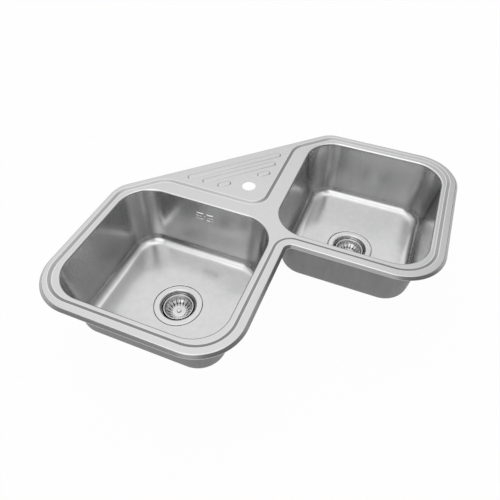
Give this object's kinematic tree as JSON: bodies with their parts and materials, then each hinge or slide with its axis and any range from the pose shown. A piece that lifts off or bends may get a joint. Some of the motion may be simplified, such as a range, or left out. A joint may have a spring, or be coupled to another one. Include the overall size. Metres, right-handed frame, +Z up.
{
  "type": "corner kitchen sink",
  "caption": "Inset corner sink of pressed steel: bowls on both arms of an L, a raised ribbed rear triangle with a tap hole, basket wastes and an overflow with its hose.",
  "frame": {"origin": "on the worktop's surface, under the rim seal in the middle of the rear chamfer", "axes": "+Z up; +X along the right arm, parallel to the wall behind it; -Y along the left arm, parallel to the wall beside it; the room corner is on the -X +Y side"},
  "size_m": [0.83, 0.83, 0.27],
  "materials": {
    "satin_steel": "satin",
    "bright_steel": "polished",
    "foam": "matte foam",
    "rubber": "matte",
    "white_plastic": "satin"
  },
  "bodies": {
    "sink": {"deck": "satin_steel", "left_bowl": "satin_steel", "right_bowl": "satin_steel", "rim_seal": "foam", "left_waste_flange": "bright_steel", "left_flange_seal": "rubber", "left_body_seal": "rubber", "left_waste_body": "white_plastic", "left_waste_screw": "bright_steel", "right_waste_flange": "bright_steel", "right_flange_seal": "rubber", "right_body_seal": "rubber", "right_waste_body": "white_plastic", "right_waste_screw": "bright_steel", "overflow_gasket": "rubber", "overflow_elbow": "white_plastic", "overflow_screw": "bright_steel", "overflow_hose": "white_plastic", "upper_hose_nut": "white_plastic", "upper_hose_washer": "rubber", "lower_hose_nut": "white_plastic", "lower_hose_washer": "rubber"},
    "left_basket": {"left_basket": "bright_steel", "left_basket_plug": "rubber", "left_basket_knob": "bright_steel"},
    "right_basket": {"right_basket": "bright_steel", "right_basket_plug": "rubber", "right_basket_knob": "bright_steel"}
  },
  "joints": [
    {"name": "left_basket_lift", "type": "slide", "parent": "sink", "child": "left_basket", "axis": [0, 0, 1], "range_m": [0, 0.24]},
    {"name": "right_basket_lift", "type": "slide", "parent": "sink", "child": "right_basket", "axis": [0, 0, 1], "range_m": [0, 0.24]}
  ]
}
